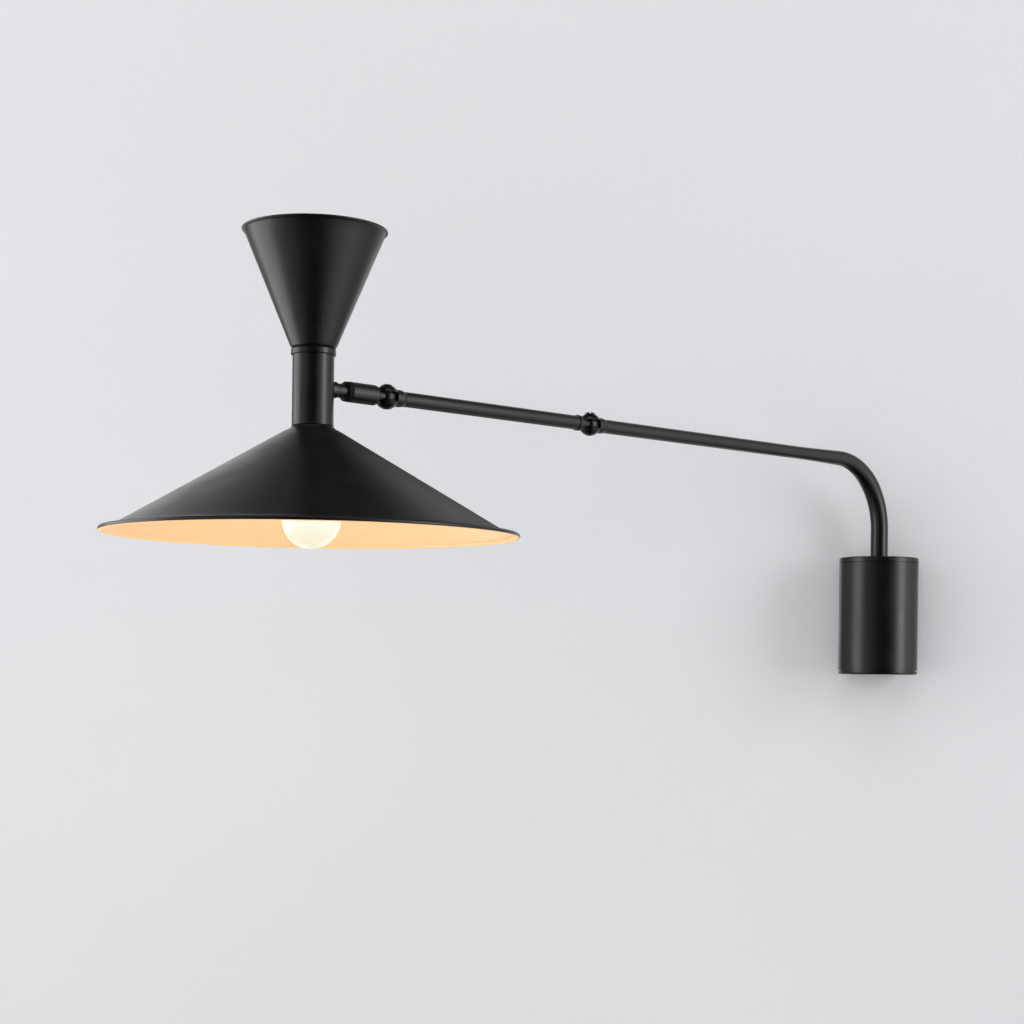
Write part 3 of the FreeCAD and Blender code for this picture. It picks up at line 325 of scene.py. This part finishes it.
SLOT_MATERIALS = {
    "black_steel": black,
    "black_shade": black_shade,
    "zinc_steel": zinc,
    "aluminium": machined,
    "black_screw": black_screw,
    "bush_plastic": acetal,
    "black_rubber": rubber,
    "terminal_plastic": polyamide,
    "holder_plastic": thermoset,
    "brass": brass,
    "bulb_glass": pearl,
    "bulb_core": sticks_lit,
    "lead_red": wire_red,
    "lead_green": wire_green,
    "lead_sheath": sheath,
}


def dress_cad_nodes():
    """Give every CAD node the procedural material of its slot."""
    for part in frame["record"]["subparts"]:
        node = nodes[part["node"]]
        node.data.materials.clear()
        node.data.materials.append(SLOT_MATERIALS[part["material_slot"]])


# ---------------------------------------------------------------- turned pieces

STEPS_AROUND = 256
SHARP_EDGE = math.radians(50)
WELD = 1e-7

# Both shades are spun from the same sheet, in millimetres, with a hole for the threaded nipple.
SHEET = 1.2
HOLE_RADIUS = 5.0

# Material numbers on a turned shade.
BLACK_SIDE = 0
CREAM_SIDE = 1


def link(name, mesh):
    piece = bpy.data.objects.new(name, mesh)
    bpy.context.scene.collection.objects.link(piece)
    return piece


def arc(centre, radius, start, end, steps):
    """Points of an arc in the (radius, height) plane, angles in degrees."""
    points = []
    for step in range(steps + 1):
        angle = math.radians(start + (end - start) * step / steps)
        points.append((centre[0] + radius * math.cos(angle), centre[1] + radius * math.sin(angle)))
    return points


def along_line(start, end, steps):
    """Points from start towards end, without the end point."""
    points = []
    for step in range(steps):
        share = step / steps
        points.append((start[0] + (end[0] - start[0]) * share, start[1] + (end[1] - start[1]) * share))
    return points


def lathe(name, runs, materials):
    """Solid of revolution about the local Z axis from runs of (radius, height) points in millimetres.

    The runs follow each other round a closed outline, and each has its own material number.
    """
    outline = []
    paint = []
    for number, points in runs:
        for point in points:
            outline.append(point)
            paint.append(number)
    count = len(outline)
    bm = bmesh.new()
    rings = []
    for step in range(STEPS_AROUND):
        angle = 2 * math.pi * step / STEPS_AROUND
        turn = (math.cos(angle), math.sin(angle))
        rings.append([bm.verts.new((r * MM * turn[0], r * MM * turn[1], z * MM)) for r, z in outline])
    for step in range(STEPS_AROUND):
        here = rings[step]
        there = rings[(step + 1) % STEPS_AROUND]
        for index in range(count):
            after = (index + 1) % count
            face = bm.faces.new((here[index], there[index], there[after], here[after]))
            face.material_index = paint[index]
            face.smooth = True
    bmesh.ops.remove_doubles(bm, verts=bm.verts, dist=WELD)
    bmesh.ops.recalc_face_normals(bm, faces=bm.faces)
    mesh = bpy.data.meshes.new(name)
    bm.to_mesh(mesh)
    bm.free()
    for material in materials:
        mesh.materials.append(material)
    mesh.set_sharp_from_angle(angle=SHARP_EDGE)
    return link(name, mesh)


def at_head(piece):
    """Put a turned piece on the head's axis, with its height counted from the lower rim."""
    piece.matrix_world = Matrix.Translation(head)
    return piece


def make_lower_shade():
    """Spun cone: flared neck, straight flank, flat flange and rolled rim; cream inside and round the bead,
    with the bulb's light painted on as a glow.
    """
    cone_foot = (149.0, 5.0)
    cone_top = (20.9, 80.4)
    neck_top = 84.6
    bead = 1.75
    bead_at = (158.75, bead)
    slope = (cone_foot[1] - cone_top[1]) / (cone_foot[0] - cone_top[0])
    upright_sheet = SHEET / math.cos(math.atan(slope))

    def flank(radius, below=0.0):
        return (radius, cone_top[1] + (radius - cone_top[0]) * slope - below)

    neck_edge = [(HOLE_RADIUS, neck_top), (14.2, neck_top), (15.8, neck_top - 0.2)]
    neck_flare = [(16.4, 83.5), (17.1, 82.6), (18.2, 81.7), (19.4, 81.05), (20.9, 80.3)]
    cone_start = flank(22.5)
    cone_end = flank(147.6)
    flange_bend = [(149.2, 4.95), (150.3, 4.4), (151.4, 3.95), (152.6, 3.65), (154.0, 3.5)]
    flange_end = [(157.0, 3.5)]
    outside = neck_edge + neck_flare + along_line(cone_start, cone_end, steps=12) + [cone_end]
    outside += flange_bend + flange_end + arc(bead_at, bead, start=100, end=-35, steps=12)

    flange_under = [(157.2, 1.0), (157.0, 2.2), (154.6, 2.3)]
    bend_under = [(152.8, 2.4), (151.2, 2.65), (149.8, 3.1)]
    inner_start = flank(148.2, upright_sheet)
    inner_end = flank(22.6, upright_sheet + 0.3)
    flare_under = [(19.0, 79.9), (16.6, 81.6)]
    ceiling = [(14.4, neck_top - SHEET), (HOLE_RADIUS, neck_top - SHEET)]
    inside = arc(bead_at, bead, start=-45, end=-140, steps=10) + flange_under + bend_under
    inside += along_line(inner_start, inner_end, steps=14) + [inner_end] + flare_under + ceiling

    runs = [(BLACK_SIDE, outside), (CREAM_SIDE, inside)]
    piece = at_head(lathe("lower_shade_spun", runs, [black_shade, cream]))
    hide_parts("lower_shade")
    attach(piece, "head")


def make_upper_shade():
    """Spun funnel with a soft foot, a slight outward lip and a rolled edge; cream inside, with the bulb's
    light painted on as a glow.
    """
    foot_z = 144.0
    foot_radius = 17.4
    rim_z = 234.2
    rim_radius = 54.9
    bead = 0.9
    bead_at = (rim_radius + 0.15, rim_z - 0.5)
    slope = (rim_radius - foot_radius) / (rim_z - foot_z)
    level_sheet = SHEET / math.cos(math.atan(slope))

    def flank(height, inward=0.0):
        return (foot_radius + (height - foot_z) * slope - inward, height)

    foot_edge = [(HOLE_RADIUS, foot_z), (foot_radius - 0.9, foot_z)]
    foot_round = [(foot_radius - 0.3, foot_z + 0.2), (foot_radius + 0.15, foot_z + 0.7)]
    funnel_start = flank(foot_z + 1.6)
    funnel_end = flank(rim_z - 2.2)
    lip = [(rim_radius - 0.3, rim_z - 1.4)]
    outside = foot_edge + foot_round + along_line(funnel_start, funnel_end, steps=12) + [funnel_end]
    outside += lip + arc(bead_at, bead, start=-60, end=100, steps=12)

    inner_start = flank(rim_z - 1.6, level_sheet)
    inner_end = flank(foot_z + 3.4, level_sheet)
    inner_round = [(16.2, foot_z + 2.0), (15.0, foot_z + 1.3)]
    bottom = [(13.4, foot_z + SHEET), (HOLE_RADIUS, foot_z + SHEET)]
    inside = arc(bead_at, bead, start=115, end=170, steps=5)
    inside += along_line(inner_start, inner_end, steps=12) + [inner_end] + inner_round + bottom

    runs = [(BLACK_SIDE, outside), (CREAM_SIDE, inside)]
    piece = at_head(lathe("upper_shade_spun", runs, [black_shade, cream_upper]))
    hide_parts("upper_shade")
    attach(piece, "head")


# ---------------------------------------------------------------- room


def one_sided(name, colour, lumps):
    """Matt paint that is seen only from its front, so that it hides nothing from behind."""
    material, tree, shader = new_material(name)
    coords = object_coords(tree)
    cloud = noise(tree, coords, scale=1.2, detail=3)
    grain = noise(tree, coords, scale=160, detail=3)
    cloudy_colour(tree, shader, cloud, colour, darkest=0.985)
    shader.inputs["Roughness"].default_value = 0.85
    shader.inputs["Specular IOR Level"].default_value = 0.2
    bump(tree, shader, [(grain, lumps)], distance=1 * MM)
    clear = tree.nodes.new("ShaderNodeBsdfTransparent").outputs["BSDF"]
    from_behind = tree.nodes.new("ShaderNodeNewGeometry").outputs["Backfacing"]
    mix_shaders(tree, from_behind, shader.outputs["BSDF"], clear, "Material Output")
    return material


def make_plane(name, corners, material):
    """Plane of the stage, which gives light and takes shadows but isn't mirrored in the coat."""
    mesh = bpy.data.meshes.new(name)
    mesh.from_pydata(corners, [], [(0, 1, 2, 3)])
    mesh.materials.append(material)
    plane = link(name, mesh)
    plane.visible_glossy = False


def make_room():
    """Pale wall just behind the sconce and a pale floor well below it."""
    wall_paint = one_sided("wall_paint", (0.79, 0.795, 0.815), lumps=0.05)
    floor_paint = one_sided("floor_paint", (0.78, 0.78, 0.79), lumps=0.02)
    side = 6.0
    top = 6.0
    front = -9.0
    back = 0.0005
    floor = -1.6
    wall_foot = [(-side, back, floor), (side, back, floor)]
    make_plane("stage_wall", wall_foot + [(side, back, top), (-side, back, top)], wall_paint)
    floor_front = [(-side, front, floor), (side, front, floor)]
    make_plane("stage_floor", floor_front + [(side, back, floor), (-side, back, floor)], floor_paint)


# ---------------------------------------------------------------- lights


def area_light(name, place, target, width, height, power, in_gloss=True):
    """Rectangular panel that faces a target; sizes in metres, power in watts."""
    data = bpy.data.lights.new(name, "AREA")
    data.shape = "RECTANGLE"
    data.size = width
    data.size_y = height
    data.energy = power
    lamp = bpy.data.objects.new(name, data)
    bpy.context.scene.collection.objects.link(lamp)
    lamp.location = place
    lamp.rotation_mode = "QUATERNION"
    lamp.rotation_quaternion = (Vector(target) - Vector(place)).to_track_quat("-Z", "Y")
    lamp.visible_glossy = in_gloss
    return lamp


def make_lights():
    """Soft studio light from five panels, and a card near the head that only shows in its gloss."""
    centre = (-0.3, -0.1, 0.1)
    area_light("panel_left", (-3.2, -1.5, 0.4), centre, width=2.4, height=3.0, power=36, in_gloss=False)
    area_light("panel_right", (2.6, -1.6, 0.5), centre, width=1.1, height=2.4, power=33)
    area_light("panel_top", (-0.3, -1.6, 3.2), (-0.3, 0.0, 0.0), width=4.0, height=1.6, power=20)
    area_light("panel_front", (-2.2, -4.0, 0.5), centre, width=4.0, height=4.0, power=43, in_gloss=False)
    area_light("panel_floor", (-0.3, -3.4, 2.6), (-0.3, -3.4, 0.0), width=3.0, height=3.0, power=28,
               in_gloss=False)
    card = area_light("card_left", (-1.15, -0.40, 0.12), (-0.5, -0.38, 0.12), width=0.6, height=0.9,
                      power=3.9)
    card.visible_diffuse = False
    card.visible_camera = False


# ---------------------------------------------------------------- surroundings

# Brightness of the surroundings as (degrees, brightness). The first list goes round: 0 is straight in
# front of the wall, 90 to the right and 180 straight through the wall. The second goes up from the level.
AIR_AZIMUTH = [(-180, 0.04), (-171, 0.34), (-163, 1.00), (-150, 0.16), (-138, 0.14), (-116, 0.32),
               (-75, 0.46), (-50, 0.42), (-35, 0.30), (-20, 0.08), (0, 0.00), (25, 0.01), (36, 0.32),
               (50, 0.66), (90, 0.76), (108, 0.40), (124, 0.30), (150, 0.46), (163, 0.84), (171, 0.16),
               (180, 0.04)]
AIR_HEIGHT = [(-70, 0.02), (-28, 1.00), (28, 1.00), (40, 0.75), (51, 0.01), (90, 0.00)]
AIR_STRENGTH = 1.4
BACKDROP_COLOUR = (0.97, 0.98, 1.0, 1)
BACKDROP_STRENGTH = 0.72


def math_node(tree, operation, first, second=None):
    """Math node on one or two sockets."""
    node = tree.nodes.new("ShaderNodeMath")
    node.operation = operation
    tree.links.new(first, node.inputs[0])
    if second is not None:
        tree.links.new(second, node.inputs[1])
    return node


def degrees_ramp(tree, value, low, high, stops):
    """Grey ramp over an angle in radians, with its limits and stops in degrees."""
    share = spread(tree, value, 0, 1, from_low=math.radians(low), from_high=math.radians(high))
    greys = [((angle - low) / (high - low), (grey, grey, grey)) for angle, grey in stops]
    return ramp(tree, share, greys)


def make_air():
    """Surroundings: bright to the sides, dim in front and overhead; a plain pale backdrop to the eye."""
    world = bpy.data.worlds.new("world")
    bpy.context.scene.world = world
    world.use_nodes = True
    tree = world.node_tree
    way = tree.nodes.new("ShaderNodeTexCoord").outputs["Generated"]
    parts = tree.nodes.new("ShaderNodeSeparateXYZ")
    tree.links.new(way, parts.inputs["Vector"])
    forward = math_node(tree, "MULTIPLY", parts.outputs["Y"])
    forward.inputs[1].default_value = -1.0
    azimuth = math_node(tree, "ARCTAN2", parts.outputs["X"], forward.outputs["Value"])
    height = math_node(tree, "ARCSINE", parts.outputs["Z"])
    product = tree.nodes.new("ShaderNodeMix")
    product.data_type = "RGBA"
    product.blend_type = "MULTIPLY"
    product.inputs["Factor"].default_value = 1.0
    round_about = degrees_ramp(tree, azimuth.outputs["Value"], -180, 180, AIR_AZIMUTH)
    up_down = degrees_ramp(tree, height.outputs["Value"], -90, 90, AIR_HEIGHT)
    tree.links.new(round_about, product.inputs[FIRST_COLOUR])
    tree.links.new(up_down, product.inputs[SECOND_COLOUR])
    air = tree.nodes["Background"]
    air.inputs["Strength"].default_value = AIR_STRENGTH
    tree.links.new(product.outputs[MIXED_COLOUR], air.inputs["Color"])
    backdrop = tree.nodes.new("ShaderNodeBackground")
    backdrop.inputs["Color"].default_value = BACKDROP_COLOUR
    backdrop.inputs["Strength"].default_value = BACKDROP_STRENGTH
    seen = tree.nodes.new("ShaderNodeLightPath").outputs["Is Camera Ray"]
    mix_shaders(tree, seen, air.outputs["Background"], backdrop.outputs["Background"], "World Output")


make_camera()
dress_cad_nodes()
make_lower_shade()
make_upper_shade()
make_room()
make_lights()
make_air()
bpy.context.scene.view_settings.view_transform = "Standard"
